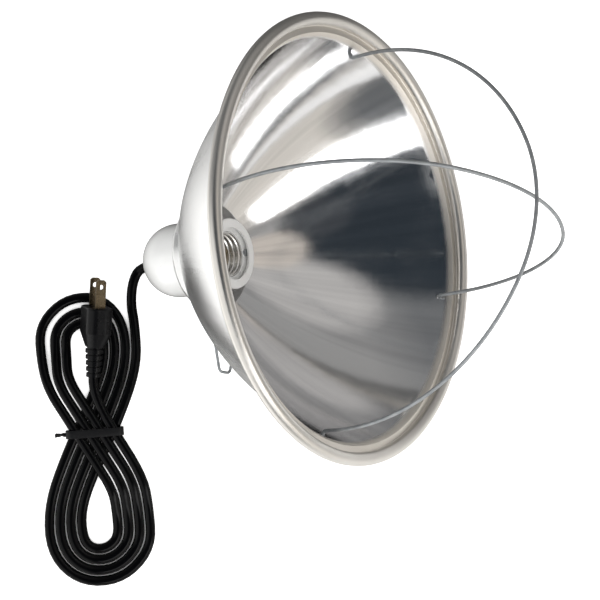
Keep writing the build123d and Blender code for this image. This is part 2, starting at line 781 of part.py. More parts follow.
# Tail: on from the last crossing and up into the plug
plug_way = Vector(1, 0, 0).rotate(Axis.Y, -plug_pitch).rotate(Axis.Z, plug_heading)
plug_level = about_axis(plug_heading - 90)
plug_up = plug_level.cross(plug_way)
plug_across = plug_level * cos(radians(plug_roll)) + plug_up * sin(radians(plug_roll))
plug_plane = Plane(origin=(rim_x + plug_x, plug_y, plug_z), x_dir=plug_across, z_dir=plug_way)
hank_end, tail_heading = hank_stations[-1]
tail_points = [
    hank_end,
    hank_end + tail_heading * tail_run,
    plug_plane.origin - plug_way * tail_end_run,
    plug_plane.origin,
]
tail_length = cord_stretch("cord_tail", tail_points)
print("hank length", round(hank_path.length, 1), "least gap", round(least_gap(hank_path), 2))
print("hank volume by section", round(cord_hank.part.volume / (pi * cord_radius**2 * hank_path.length), 4))
print("cord length", round(lead_length + hank_path.length + tail_length, 1))

# Tie: a band round every strand at the waist, with its two twisted-off ends
lean = cos(radians(waist_slope))
first_over = first_slot - loop_pitch * waist_in[3]
last_over = first_over - loop_pitch * (hank_loops - 1)
first_under = first_slot - loop_pitch * waist_down[3]
last_under = first_under - loop_pitch * (hank_loops - 1)
side_room = cord_radius / lean + tie_width / 2 * tan(radians(waist_slope)) + tie_clearance
tie_left = min(-first_over, last_under) / lean - side_room
tie_right = max(-last_over, first_under) / lean + side_room
tie_low = under_level - cord_radius - tie_clearance
tie_high = over_level + cord_radius + tie_clearance
tie_plane = Plane(origin=hank_plane.origin, x_dir=hank_plane.x_dir, z_dir=-hank_plane.y_dir)
with BuildPart() as hank_tie:
    with BuildSketch(tie_plane):
        with Locations(((tie_left + tie_right) / 2, (tie_low + tie_high) / 2)):
            RectangleRounded(
                tie_right - tie_left + 2 * tie_band, tie_high - tie_low + 2 * tie_band, tie_round + tie_band
            )
            RectangleRounded(tie_right - tie_left, tie_high - tie_low, tie_round, mode=Mode.SUBTRACT)
    extrude(amount=tie_width / 2, both=True)
    with BuildSketch(tie_plane):
        with Locations((tie_left - tie_band / 2, (tie_low + tie_high) / 2)):
            for turn_up in (tie_tail_spread, -tie_tail_spread):
                Rectangle(tie_tail, tie_band, rotation=turn_up, align=(Align.MAX, Align.CENTER))
    extrude(amount=tie_width / 4, both=True)
floor_pieces["hank_tie"] = hank_tie

# Plug: moulded body with a ribbed strain relief, drawn with +Z along the plug
with BuildPart() as plug_body:
    rib_pitch = boot_length / boot_ribs
    boot_side = [(0, 0)]
    for rib in range(boot_ribs):
        rib_start = rib * rib_pitch
        swell = boot_end_radius + (boot_root_radius - boot_end_radius) * (rib + 1) / boot_ribs
        boot_side += [
            (swell, rib_start),
            (swell, rib_start + 0.6 * rib_pitch),
            (swell - boot_groove, rib_start + 0.6 * rib_pitch),
            (swell - boot_groove, rib_start + rib_pitch),
        ]
    boot_side += [(0, boot_length)]
    with BuildSketch(Plane.XZ):
        with BuildLine():
            Polyline(*boot_side, close=True)
        make_face()
    revolve(axis=Axis.Z)
    with BuildSketch(Plane.XY.offset(boot_length)):
        RectangleRounded(2.2 * boot_root_radius, 2 * boot_root_radius, 0.9 * boot_root_radius)
    with BuildSketch(Plane.XY.offset(boot_length + plug_shoulder)):
        RectangleRounded(plug_width, plug_thickness, plug_corner)
    loft()
    with BuildSketch(Plane.XY.offset(boot_length + plug_shoulder)):
        RectangleRounded(plug_width, plug_thickness, plug_corner)
    extrude(amount=plug_length - plug_shoulder)
    fillet(plug_body.faces().sort_by(Axis.Z)[-1].edges(), plug_edge)
    with BuildSketch(Plane.XY.offset(boot_length + plug_length)):
        with Locations((blade_spacing / 2, 0), (-blade_spacing / 2, 0)):
            Rectangle(blade_thickness + 2 * blade_clearance, blade_width + 2 * blade_clearance)
    extrude(amount=-blade_root, mode=Mode.SUBTRACT)
plug_pieces["plug_body"] = plug_body

for blade_name, side in (("plug_blade_live", 1), ("plug_blade_neutral", -1)):
    with BuildPart() as blade:
        with BuildSketch(Plane.YZ.offset(side * blade_spacing / 2)):
            with Locations((0, boot_length + plug_length - blade_root)):
                Rectangle(blade_width, blade_root + blade_reach, align=(Align.CENTER, Align.MIN))
            with Locations((0, boot_length + plug_length + blade_reach - blade_hole_from_tip)):
                Circle(blade_hole_radius, mode=Mode.SUBTRACT)
        extrude(amount=blade_thickness / 2, both=True)
        tip_edges = blade.faces().sort_by(Axis.Z)[-1].edges().filter_by(Axis.X)
        chamfer(tip_edges, blade_tip_chamfer)
    plug_pieces[blade_name] = blade

# Every piece goes to its own file, in its place on the floor
for group, place in (
    (lamp_pieces, lamp_plane.location),
    (plug_pieces, plug_plane.location),
    (floor_pieces, Location()),
):
    for name, builder in group.items():
        piece = builder.part.moved(place)
        piece.label = name
        export_step(piece, "parts/" + name + ".step")
print("slope", round(degrees(lamp_slope), 2), "rim centre", round(rim_x, 2), round(rim_height, 2))
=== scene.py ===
import json
from math import atan, cos, radians, sin, sqrt, tan

import bmesh
import bpy
from mathutils import Matrix, Vector


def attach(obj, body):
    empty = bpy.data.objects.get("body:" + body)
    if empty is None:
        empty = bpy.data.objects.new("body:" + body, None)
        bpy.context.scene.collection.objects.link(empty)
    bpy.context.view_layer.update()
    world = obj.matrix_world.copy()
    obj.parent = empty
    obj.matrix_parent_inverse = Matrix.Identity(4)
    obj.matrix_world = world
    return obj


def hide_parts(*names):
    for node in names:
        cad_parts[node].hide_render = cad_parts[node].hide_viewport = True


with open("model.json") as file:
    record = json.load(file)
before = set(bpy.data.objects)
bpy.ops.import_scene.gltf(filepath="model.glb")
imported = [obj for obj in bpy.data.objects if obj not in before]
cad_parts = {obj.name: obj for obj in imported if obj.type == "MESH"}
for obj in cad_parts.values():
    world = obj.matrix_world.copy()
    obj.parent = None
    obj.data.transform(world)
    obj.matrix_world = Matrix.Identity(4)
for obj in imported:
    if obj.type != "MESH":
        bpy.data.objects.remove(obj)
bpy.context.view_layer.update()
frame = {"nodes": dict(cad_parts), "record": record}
nodes = frame["nodes"]
mm = 0.001


def addObject(name, data):
    made = bpy.data.objects.new(name, data)
    bpy.context.scene.collection.objects.link(made)
    return made


# a frame from its three axes and its place
def axesMatrix(axisX, axisY, axisZ, place):
    made = Matrix((axisX, axisY, axisZ)).transposed().to_4x4()
    made.translation = place
    return made


# the lamp's own frame: +Z along its axis, 0 at the middle of the rolled rim
socketMount = next(m for m in frame["record"]["mounts"] if m["name"] == "bulb_socket")
socketHeight = -98.725 * mm  # of the mount, along the axis
lampAxis = Vector(socketMount["axis"]).normalized()
lampLeft = Vector((0, 1, 0))
lampOrigin = Vector(socketMount["pos_m"]) - lampAxis * socketHeight
lampMatrix = axesMatrix(lampLeft, lampAxis.cross(lampLeft), lampAxis, lampOrigin)
print("frame: lamp axis", [round(v, 4) for v in lampAxis], "rim centre", [round(v, 4) for v in lampOrigin])

# camera: almost straight down, from the socket's side
cameraSet = {
    "place": (-0.13182, -0.03282, 1.21658),
    "look": (0.08666, 0.0, -0.99624),
    "right": (0.99010, -0.11085, 0.08613),
    "focusPixels": 1912.0,
    "framePixels": 600.0,
}
cameraData = bpy.data.cameras.new("photoCamera")
cameraData.sensor_fit = "HORIZONTAL"
cameraData.angle = 2 * atan(cameraSet["framePixels"] / 2 / cameraSet["focusPixels"])
camera = addObject("photoCamera", cameraData)
cameraBack = -Vector(cameraSet["look"]).normalized()
cameraRight = Vector(cameraSet["right"])
cameraRight = (cameraRight - cameraBack * cameraRight.dot(cameraBack)).normalized()
camera.matrix_world = axesMatrix(cameraRight, cameraBack.cross(cameraRight), cameraBack, cameraSet["place"])
bpy.context.scene.camera = camera
print("camera: set")

# cord: the same corners as the modelled route, as control points of one smooth line
cordSet = {
    "diameter": 6.2 * mm,
    "lift": 0.1 * mm,  # off the floor
    "gap": 0.5 * mm,  # where one turn crosses another
    "sheathEnd": -138.5 * mm,  # along the lamp's axis
    "domeTip": -150.0 * mm,
    "length": 1.527,
    "sides": 5,
    "steps": 5,
}
leadSet = {
    "step": (-6.6 * mm, -9.4 * mm),
    "turn": (-131.2 * mm, -23.5 * mm),
    "endRun": 9.5 * mm,
}
hankSet = {
    "waist": (-164.3 * mm, -101.3 * mm),
    "turn": radians(-2.4),
    "loops": 4,
    "open": 0.375,  # share of the last figure eight that is left out
    "pitch": 6.8 * mm,
    "fan": 2.4 * mm,
    "fanFrom": 0.7,
    "underShare": 0.125,
    "overShare": 0.6,
    "topCentre": 57.5 * mm,
    "topLoop": 19.0 * mm,
    "bottomCentre": -62.2 * mm,
    "bottomLoop": 21.0 * mm,
    "slope": radians(29.0),
    "hump": 28.0 * mm,
    "lift": 1.3 * mm,
    "tailRun": 30.0 * mm,
}
plugSet = {
    "place": (-159.4 * mm, -66.0 * mm, 14.9 * mm),
    "heading": radians(80.5),
    "pitch": radians(8.0),
    "endRun": 8.0 * mm,
}
straightSpread = 1e-9  # below this, two headings are the same

rimX = lampOrigin.x
floorLevel = cordSet["diameter"] / 2 + cordSet["lift"]
underLevel = floorLevel + hankSet["lift"]
overLevel = underLevel + cordSet["diameter"] + cordSet["gap"]
hankMatrix = Matrix.Rotation(hankSet["turn"], 4, "Z")
hankMatrix.translation = (rimX + hankSet["waist"][0], hankSet["waist"][1], 0)
firstSlot = hankSet["pitch"] * (hankSet["loops"] - hankSet["open"]) / 2


# place of the ribbon of turns, heading, level and share of a whole figure eight
def hankStations():
    s = hankSet
    downLeft = (-sin(s["slope"]), -cos(s["slope"]))
    upLeft = (-sin(s["slope"]), cos(s["slope"]))
    humpX, humpY = s["hump"] * upLeft[0], s["hump"] * upLeft[1]
    eight = [
        ((s["topLoop"], s["topCentre"]), (0, -1), floorLevel, 0.0),
        ((0, 0), downLeft, underLevel, s["underShare"]),
        ((-s["bottomLoop"], s["bottomCentre"]), (0, -1), floorLevel, 0.25),
        ((0, s["bottomCentre"] - s["bottomLoop"]), (1, 0), floorLevel, 0.375),
        ((s["bottomLoop"], s["bottomCentre"]), (0, 1), floorLevel, 0.5),
        ((-humpX, -humpY), upLeft, overLevel, s["overShare"]),
        ((humpX, humpY), upLeft, overLevel, 0.65),
        ((-s["topLoop"], s["topCentre"]), (0, 1), floorLevel, 0.75),
        ((0, s["topCentre"] + s["topLoop"]), (1, 0), floorLevel, 0.875),
    ]
    found = []
    for turn in range(s["loops"]):
        for (across, along), (wayX, wayY), level, share in eight:
            if turn == s["loops"] - 1 and share > s["overShare"]:
                break  # the last turn leaves at the crossing
            slot = firstSlot - s["pitch"] * (turn + share)
            if turn == 0 and share > s["fanFrom"]:  # the first turn stands out round the upper left
                slot += s["fan"]
            point = hankMatrix @ Vector((across - slot * wayY, along + slot * wayX, level))
            found.append((point, hankMatrix.to_3x3() @ Vector((wayX, wayY, 0))))
    return found


# the two corners of the smooth turn between one station and the next
def turnCorners(start, end):
    (pointA, wayA), (pointB, wayB) = start, end
    gap = pointB - pointA
    spread = 2 * (1 - wayA.dot(wayB))
    if spread < straightSpread:
        reach = gap.dot(gap) / (4 * gap.dot(wayB))
    else:
        along = gap.dot(wayA + wayB)
        reach = (sqrt(along**2 + spread * gap.dot(gap)) - along) / spread
    return [pointA + wayA * reach, pointB - wayB * reach]


def cordRoute(stations, exitPoint):
    sheathStart = lampMatrix @ Vector((0, 0, cordSet["sheathEnd"]))
    floorCorner = exitPoint - lampAxis * ((exitPoint.z - floorLevel) / lampAxis.z)
    hankStart, hankHeading = stations[0]
    hankEnd, tailHeading = stations[-1]
    plugStart = Vector(plugSet["place"]) + Vector((rimX, 0, 0))
    heading, pitch = plugSet["heading"], plugSet["pitch"]
    plugWay = Vector((cos(heading) * cos(pitch), sin(heading) * cos(pitch), sin(pitch)))
    points = [
        sheathStart,
        floorCorner,
        floorCorner + Vector((*leadSet["step"], 0)),
        Vector((rimX + leadSet["turn"][0], leadSet["turn"][1], floorLevel)),
        hankStart - hankHeading * leadSet["endRun"],
    ]
    for start, end in zip(stations, stations[1:]):
        points += turnCorners(start, end)
    points += [
        hankEnd + tailHeading * hankSet["tailRun"],
        plugStart - plugWay * plugSet["endRun"],
        plugStart,
    ]
    return points


def cordCurve(name, points):
    data = bpy.data.curves.new(name, "CURVE")
    data.dimensions = "3D"
    data.bevel_depth = 1.0  # times each point's own radius
    data.bevel_resolution = cordSet["sides"]
    data.resolution_u = cordSet["steps"]
    data.use_fill_caps = True
    spline = data.splines.new("NURBS")
    spline.points.add(len(points) - 1)
    for place, point in zip(spline.points, points):
        place.co = (*point, 1.0)
        place.radius = cordSet["diameter"] / 2
    spline.order_u = 3
    spline.use_endpoint_u = True
    return addObject(name, data)


cordExit = lampMatrix @ Vector((0, 0, cordSet["domeTip"]))
cordPoints = cordRoute(hankStations(), cordExit)
mainsCord = cordCurve("mainsCord", cordPoints)
mainsCord.visible_glossy = False  # the satin bowl shows no image of it
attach(mainsCord, "lamp")
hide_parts("cord_lead", "cord_hank", "cord_tail")
print("cord:", len(cordPoints), "points")

# tie: a flat band round the waist, its two ends twisted together on the left
tieSet = {
    "width": 5.0 * mm,
    "band": 0.8 * mm,
    "clearance": 0.35 * mm,
    "round": 3.0 * mm,
    "roundSteps": 6,
    "edge": 0.15 * mm,
    "edgeSteps": 2,
    "tail": 7.6 * mm,
    "tailWidth": 2.4 * mm,
    "tailSteps": (14, 2),
    "spread": radians(24.0),
    "twist": radians(200.0),
}
alongCosine = 0.9  # a direction this close to an axis runs along it


def finishMesh(name, shape, smooth=True):
    data = bpy.data.meshes.new(name)
    shape.to_mesh(data)
    shape.free()
    if smooth:
        data.shade_smooth()
    return addObject(name, data)


def runsAcross(edge):
    way = (edge.verts[0].co - edge.verts[1].co).normalized()
    return abs(way.y) > alongCosine


# one end of the tie: a flat strip, turned about its own length and bent away from the other end
def addTail(shape, side, place):
    s = tieSet
    stepsLong, stepsWide = s["tailSteps"]
    tail = bmesh.ops.create_grid(shape, x_segments=stepsLong, y_segments=stepsWide, size=0.5)["verts"]
    bmesh.ops.scale(shape, vec=(s["tail"], s["tailWidth"], 1), verts=tail)
    bmesh.ops.translate(shape, vec=(-s["tail"] / 2, 0, 0), verts=tail)
    for vert in tail:
        share = -vert.co.x / s["tail"]
        twist = Matrix.Rotation(side * s["twist"] * share, 3, "X")
        bmesh.ops.rotate(shape, cent=(0, 0, 0), verts=[vert], matrix=twist)
    bend = Matrix.Rotation(-side * s["spread"], 3, "Y")
    bmesh.ops.rotate(shape, cent=(0, 0, 0), verts=tail, matrix=bend)
    bmesh.ops.translate(shape, vec=place, verts=tail)


def makeTie():
    s = tieSet
    radius = cordSet["diameter"] / 2
    lean = cos(hankSet["slope"])
    overSlot, underSlot = [firstSlot - hankSet["pitch"] * hankSet[key] for key in ("overShare", "underShare")]
    wound = hankSet["pitch"] * (hankSet["loops"] - 1)
    room = radius / lean + s["width"] / 2 * tan(hankSet["slope"]) + s["clearance"]
    left = min(-overSlot, underSlot - wound) / lean - room
    right = max(wound - overSlot, underSlot) / lean + room
    low = underLevel - radius - s["clearance"]
    high = overLevel + radius + s["clearance"]
    middle = Vector(((left + right) / 2, 0, (low + high) / 2))
    shape = bmesh.new()
    bmesh.ops.create_cube(shape, size=1.0)
    bmesh.ops.scale(shape, vec=(right - left, s["width"], high - low), verts=shape.verts)
    longEdges = [edge for edge in shape.edges if runsAcross(edge)]
    bmesh.ops.bevel(shape, geom=longEdges, offset=s["round"], offset_type="OFFSET", segments=s["roundSteps"],
                    profile=0.5, affect="EDGES", material=-1)
    ends = [face for face in shape.faces if abs(face.normal.y) > alongCosine]
    bmesh.ops.delete(shape, geom=ends, context="FACES_ONLY")
    bmesh.ops.translate(shape, vec=middle, verts=shape.verts)
    for side in (1, -1):
        addTail(shape, side, (left - s["band"] / 2, 0, middle.z))
    bmesh.ops.transform(shape, matrix=hankMatrix, verts=shape.verts)
    return finishMesh("waistTie", shape)


waistTie = makeTie()
tieWall = waistTie.modifiers.new("wall", "SOLIDIFY")
tieWall.thickness = tieSet["band"]
tieWall.offset = 1.0
tieEdge = waistTie.modifiers.new("edge", "BEVEL")
tieEdge.width = tieSet["edge"]
tieEdge.segments = tieSet["edgeSteps"]
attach(waistTie, "lamp")
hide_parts("hank_tie")
print("tie: made")


# shader helpers
def newNode(tree, kind, **settings):
    node = tree.nodes.new(kind)
    for key, value in settings.items():
        setattr(node, key, value)
    return node


# links another node's output, or sets a number, a vector or a colour
def feed(tree, socket, value):
    if isinstance(value, bpy.types.NodeSocket):
        tree.links.new(value, socket)
    elif socket.type == "RGBA":
        socket.default_value = (*value, 1.0)
    else:
        socket.default_value = value


def mathNode(tree, operation, first, second):
    node = newNode(tree, "ShaderNodeMath", operation=operation)
    feed(tree, node.inputs[0], first)
    feed(tree, node.inputs[1], second)
    return node.outputs[0]


def vectorNode(tree, operation, first, second=None):
    node = newNode(tree, "ShaderNodeVectorMath", operation=operation)
    feed(tree, node.inputs[0], first)
    if second is not None:
        feed(tree, node.inputs["Scale" if operation == "SCALE" else 1], second)
    return node.outputs["Value" if operation in ("DOT_PRODUCT", "LENGTH") else "Vector"]


def rangeNode(tree, value, fromLow, fromHigh, toLow=0.0, toHigh=1.0):
    node = newNode(tree, "ShaderNodeMapRange", clamp=True)
    feed(tree, node.inputs["Value"], value)
    limits = {"From Min": fromLow, "From Max": fromHigh, "To Min": toLow, "To Max": toHigh}
    for label, number in limits.items():
        node.inputs[label].default_value = number
    return node.outputs["Result"]


def mixColour(tree, factor, first, second):
    node = newNode(tree, "ShaderNodeMix", data_type="RGBA")
    feed(tree, node.inputs["Factor"], factor)
    feed(tree, node.inputs[6], first)  # 6 and 7 are the colours A and B, 2 and 3 the numbers
    feed(tree, node.inputs[7], second)
    return node.outputs[2]


def mixValue(tree, factor, first, second):
    node = newNode(tree, "ShaderNodeMix", data_type="FLOAT")
    feed(tree, node.inputs["Factor"], factor)
    feed(tree, node.inputs[2], first)
    feed(tree, node.inputs[3], second)
    return node.outputs[0]


def noiseNode(tree, place, scale, detail, roughness, dimensions="3D"):
    node = newNode(tree, "ShaderNodeTexNoise", noise_dimensions=dimensions)
    feed(tree, node.inputs["W" if dimensions == "1D" else "Vector"], place)
    feed(tree, node.inputs["Scale"], scale)
    node.inputs["Detail"].default_value = detail
    node.inputs["Roughness"].default_value = roughness
    return node.outputs["Fac"]


def objectPlace(tree):
    return newNode(tree, "ShaderNodeTexCoord").outputs["Object"]


def surfaceNormal(tree):
    return newNode(tree, "ShaderNodeNewGeometry").outputs["Normal"]


def openGroup(name, inputs):
    group = bpy.data.node_groups.new(name, "ShaderNodeTree")
    for label, value in inputs.items():
        socket = group.interface.new_socket(label, in_out="INPUT", socket_type="NodeSocketFloat")
        socket.default_value = value
    return group, group.nodes.new("NodeGroupInput").outputs


def closeGroup(group, found):
    for label in found:
        group.interface.new_socket(label, in_out="OUTPUT", socket_type="NodeSocketFloat")
    result = group.nodes.new("NodeGroupOutput")
    for label, value in found.items():
        group.links.new(value, result.inputs[label])
    return group


noiseSpan = (0.3, 0.7)  # where most of a noise's values lie
noiseCore = (0.35, 0.65)

# marks of turning: fine rings about the lamp's axis; streaks round it, used as painted reflection streaks in
# the aluminium's colour and as a roughness swing; and which wall is the inside
turningAndPaintedStreakSet = {
    "inputs": {"Ring Density": 900.0, "Streak Density": 9.0},
    "rings": {"scale": 1.0, "detail": 4.0, "roughness": 0.65, "dimensions": "1D"},
    "streaks": {"scale": 1.0, "detail": 3.0, "roughness": 0.6},
    "streakLift": 2.0,
    "insideFacing": (0.02, -0.12),
}


def makeTurningMarksAndPaintedStreaks():
    s = turningAndPaintedStreakSet
    group, given = openGroup("turningMarksAndPaintedStreaks", s["inputs"])
    fromRim = vectorNode(group, "SUBTRACT", objectPlace(group), lampOrigin)
    height = vectorNode(group, "DOT_PRODUCT", fromRim, lampAxis)
    outward = vectorNode(group, "SUBTRACT", fromRim, vectorNode(group, "SCALE", lampAxis, height))
    radius = vectorNode(group, "LENGTH", outward)
    direction = vectorNode(group, "NORMALIZE", outward)
    profile = mathNode(group, "ADD", radius, height)
    ringPlace = mathNode(group, "MULTIPLY", profile, given["Ring Density"])
    lift = newNode(group, "ShaderNodeCombineXYZ")
    feed(group, lift.inputs["Z"], mathNode(group, "MULTIPLY", profile, s["streakLift"]))
    streakPlace = vectorNode(group, "SCALE", direction, given["Streak Density"])
    streakPlace = vectorNode(group, "ADD", streakPlace, lift.outputs["Vector"])
    facing = vectorNode(group, "DOT_PRODUCT", surfaceNormal(group), direction)
    return closeGroup(group, {
        "Rings": noiseNode(group, ringPlace, **s["rings"]),
        "Streaks": noiseNode(group, streakPlace, **s["streaks"]),
        "Inside": rangeNode(group, facing, *s["insideFacing"]),
        "Height": height,
        "Radius": radius,
    })


# cloudy unevenness at two sizes
mottleSet = {
    "inputs": {"Coarse": 60.0, "Fine": 700.0},
    "cloud": {"detail": 4.0, "roughness": 0.55},
    "grain": {"detail": 2.0, "roughness": 0.6},
}


def makeMottle():
    s = mottleSet
    group, given = openGroup("mottle", s["inputs"])
    place = objectPlace(group)
    return closeGroup(group, {
        "Cloud": noiseNode(group, place, given["Coarse"], **s["cloud"]),
        "Grain": noiseNode(group, place, given["Fine"], **s["grain"]),
    })


# marks of handling: smudges with soft edges, and dust on what faces up
handlingSet = {
    "inputs": {"Size": 35.0, "Cover": 0.5},
    "smudges": {"detail": 5.0, "roughness": 0.6},
    "smudgeEdge": 5.0,
    "specks": {"scale": 1400.0, "detail": 2.0, "roughness": 0.7},
    "speckEdge": (0.55, 0.75),
    "upward": (0.2, 1.0),
}


def makeHandling():
    s = handlingSet
    group, given = openGroup("handling", s["inputs"])
    place = objectPlace(group)
    cloud = noiseNode(group, place, given["Size"], **s["smudges"])
    start = mathNode(group, "SUBTRACT", 1.0, given["Cover"])
    above = mathNode(group, "SUBTRACT", cloud, start)
    smudge = mathNode(group, "MULTIPLY", above, s["smudgeEdge"])
    upward = vectorNode(group, "DOT_PRODUCT", surfaceNormal(group), (0.0, 0.0, 1.0))
    specks = noiseNode(group, place, **s["specks"])
    settled = mathNode(group, "MULTIPLY", rangeNode(group, upward, *s["upward"]),
                       rangeNode(group, specks, *s["speckEdge"]))
    return closeGroup(group, {"Smudge": rangeNode(group, smudge, 0.0, 1.0), "Dust": settled})


turningMarksAndPaintedStreaks = makeTurningMarksAndPaintedStreaks()
mottle = makeMottle()
handling = makeHandling()


def placeGroup(tree, group, values):
    node = newNode(tree, "ShaderNodeGroup", node_tree=group)
    for label, value in values.items():
        node.inputs[label].default_value = value
    return node.outputs


def startPaint(name, values):
    paint = bpy.data.materials.new(name)
    paint.use_nodes = True
    shader = paint.node_tree.nodes["Principled BSDF"]
    for label, value in values.items():
        shader.inputs[label].default_value = value
    return paint, paint.node_tree, shader


def addBump(tree, shader, height, strength, distance):
    bump = newNode(tree, "ShaderNodeBump")
    bump.inputs["Strength"].default_value = strength
    bump.inputs["Distance"].default_value = distance
    feed(tree, bump.inputs["Height"], height)
    feed(tree, shader.inputs["Normal"], bump.outputs["Normal"])


def addRough(tree, shader, base, smudge, smudgeRough):
    rough = mathNode(tree, "ADD", base, mathNode(tree, "MULTIPLY", smudge, smudgeRough))
    feed(tree, shader.inputs["Roughness"], rough)


# spun aluminium: polished inside, satin outside, with its grain round the axis; its colour has painted
# reflection streaks inside and painted shade deep in the neck
aluminiumSet = {
    "inside": (0.90, 0.90, 0.905),
    # the darker tone of the painted reflection streaks inside the bowl
    "paintedStreakDark": (0.74, 0.74, 0.75),
    "outside": (0.94, 0.94, 0.93),
    "lip": (0.86, 0.815, 0.75),
    "bead": (0.76, 0.735, 0.695),
    # the deep cup round the socket: painted shade, a darker colour where shade falls in the neck, with a real
    # rougher finish
    "paintedShadeCup": (0.60, 0.60, 0.605),
    "insideRough": 0.10,
    "outsideRough": 0.30,
    "lipRough": 0.45,
    "beadRough": 0.35,
    "paintedShadeCupRough": 0.55,
    "leastRough": 0.06,
    "lipHeight": (-6.0 * mm, -3.5 * mm),
    "beadStart": (124.8 * mm, 125.6 * mm),
    "cupHeight": (-97.6 * mm, -98.6 * mm),
    "marks": {"Ring Density": 1500.0, "Streak Density": 7.0},
    "touch": {"Size": 28.0, "Cover": 0.46},
    "ringSwing": 0.06,
    "streakSwing": 0.06,
    "smudgeRough": 0.05,
    "grain": 0.6,
    "ringBump": (0.25, 0.03 * mm),
}


def makeSpunAluminium():
    s = aluminiumSet
    paint, tree, shader = startPaint("spunAluminium", {"Metallic": 1.0, "Anisotropic": s["grain"]})
    marks = placeGroup(tree, turningMarksAndPaintedStreaks, s["marks"])
    touch = placeGroup(tree, handling, s["touch"])
    # painted reflection streaks: the inside's colour goes lighter and darker in streaks round the axis
    paintedStreakShare = rangeNode(tree, marks["Streaks"], *noiseCore)
    insideColour = mixColour(tree, paintedStreakShare, s["paintedStreakDark"], s["inside"])
    colour = mixColour(tree, marks["Inside"], s["outside"], insideColour)
    base = rangeNode(tree, marks["Inside"], 0.0, 1.0, s["outsideRough"], s["insideRough"])
    # painted shade deep in the neck, on the inside wall only
    cupDepth = rangeNode(tree, marks["Height"], *s["cupHeight"])
    zones = {
        "lip": rangeNode(tree, marks["Height"], *s["lipHeight"]),
        "bead": rangeNode(tree, marks["Radius"], *s["beadStart"]),
        "paintedShadeCup": mathNode(tree, "MULTIPLY", cupDepth, marks["Inside"]),
    }
    for zone, share in zones.items():
        colour = mixColour(tree, share, colour, s[zone])
        base = mixValue(tree, share, base, s[zone + "Rough"])
    feed(tree, shader.inputs["Base Color"], colour)
    for mark, swing in (("Rings", s["ringSwing"]), ("Streaks", s["streakSwing"])):
        base = mathNode(tree, "ADD", base, rangeNode(tree, marks[mark], *noiseSpan, -swing / 2, swing / 2))
    rough = mathNode(tree, "ADD", base, mathNode(tree, "MULTIPLY", touch["Smudge"], s["smudgeRough"]))
    feed(tree, shader.inputs["Roughness"], mathNode(tree, "MAXIMUM", rough, s["leastRough"]))
    addBump(tree, shader, marks["Rings"], *s["ringBump"])
    fromRim = vectorNode(tree, "SUBTRACT", objectPlace(tree), lampOrigin)
    around = vectorNode(tree, "CROSS_PRODUCT", fromRim, lampAxis)
    feed(tree, shader.inputs["Tangent"], vectorNode(tree, "NORMALIZE", around))
    return paint


# zinc plated wire and strip, with a dull film
zincSet = {
    "light": (0.44, 0.457, 0.47),
    "dark": (0.27, 0.287, 0.30),
    "metal": 0.7,
    "mottle": {"Coarse": 160.0, "Fine": 1500.0},
    "touch": {"Size": 90.0, "Cover": 0.42},
    "cloudShare": 0.75,
    "grainShare": 0.25,
    "rough": (0.40, 0.56),
    "smudgeRough": 0.1,
    "bump": (0.15, 0.05 * mm),
}


def makeZinc():
    s = zincSet
    paint, tree, shader = startPaint("zincWire", {"Metallic": s["metal"]})
    cloud = placeGroup(tree, mottle, s["mottle"])
    touch = placeGroup(tree, handling, s["touch"])
    spangle = mathNode(tree, "ADD", mathNode(tree, "MULTIPLY", cloud["Cloud"], s["cloudShare"]),
                       mathNode(tree, "MULTIPLY", cloud["Grain"], s["grainShare"]))
    colour = mixColour(tree, rangeNode(tree, spangle, *noiseCore), s["dark"], s["light"])
    feed(tree, shader.inputs["Base Color"], colour)
    base = rangeNode(tree, cloud["Cloud"], *noiseSpan, *s["rough"])
    addRough(tree, shader, base, touch["Smudge"], s["smudgeRough"])
    addBump(tree, shader, cloud["Grain"], *s["bump"])
    return paint


# white glaze on porcelain: a little uneven, with fine specks
glazeSet = {
    "white": (0.95, 0.95, 0.94),
    "shade": (0.90, 0.90, 0.885),
    "speck": (0.70, 0.68, 0.64),
    "coat": {"Coat Weight": 0.6, "Coat Roughness": 0.04},
    "mottle": {"Coarse": 45.0, "Fine": 900.0},
    "touch": {"Size": 60.0, "Cover": 0.4},
    "shadeEdge": (0.35, 0.7),
    "speckEdge": (0.70, 0.78),
    "speckShare": 0.6,
    "rough": (0.12, 0.22),
    "smudgeRough": 0.08,
    "bump": (0.12, 0.4 * mm),
}


def makeGlaze():
    s = glazeSet
    paint, tree, shader = startPaint("whiteGlaze", s["coat"])
    cloud = placeGroup(tree, mottle, s["mottle"])
    touch = placeGroup(tree, handling, s["touch"])
    colour = mixColour(tree, rangeNode(tree, cloud["Cloud"], *s["shadeEdge"]), s["white"], s["shade"])
    specks = rangeNode(tree, cloud["Grain"], *s["speckEdge"], 0.0, s["speckShare"])
    feed(tree, shader.inputs["Base Color"], mixColour(tree, specks, colour, s["speck"]))
    base = rangeNode(tree, cloud["Cloud"], *noiseSpan, *s["rough"])
    addRough(tree, shader, base, touch["Smudge"], s["smudgeRough"])
    addBump(tree, shader, cloud["Cloud"], *s["bump"])
    return paint


# sheet metal of the shell, the contacts and the blades, tarnished in places
stripSet = {
    "mottle": {"Coarse": 220.0, "Fine": 1800.0},
    "touch": {"Size": 150.0, "Cover": 0.5},
    "tarnish": (0.2, 0.9),
    "roughSwing": (-0.06, 0.1),
    "bump": (0.1, 0.04 * mm),
}
stripFinishes = {
    "platedShell": {"light": (0.92, 0.915, 0.90), "dark": (0.72, 0.70, 0.67), "rough": 0.28},
    "brassStrip": {"light": (0.72, 0.55, 0.27), "dark": (0.42, 0.30, 0.14), "rough": 0.26},
    "bladeBrass": {"light": (0.17, 0.13, 0.08), "dark": (0.07, 0.055, 0.035), "rough": 0.28},
}


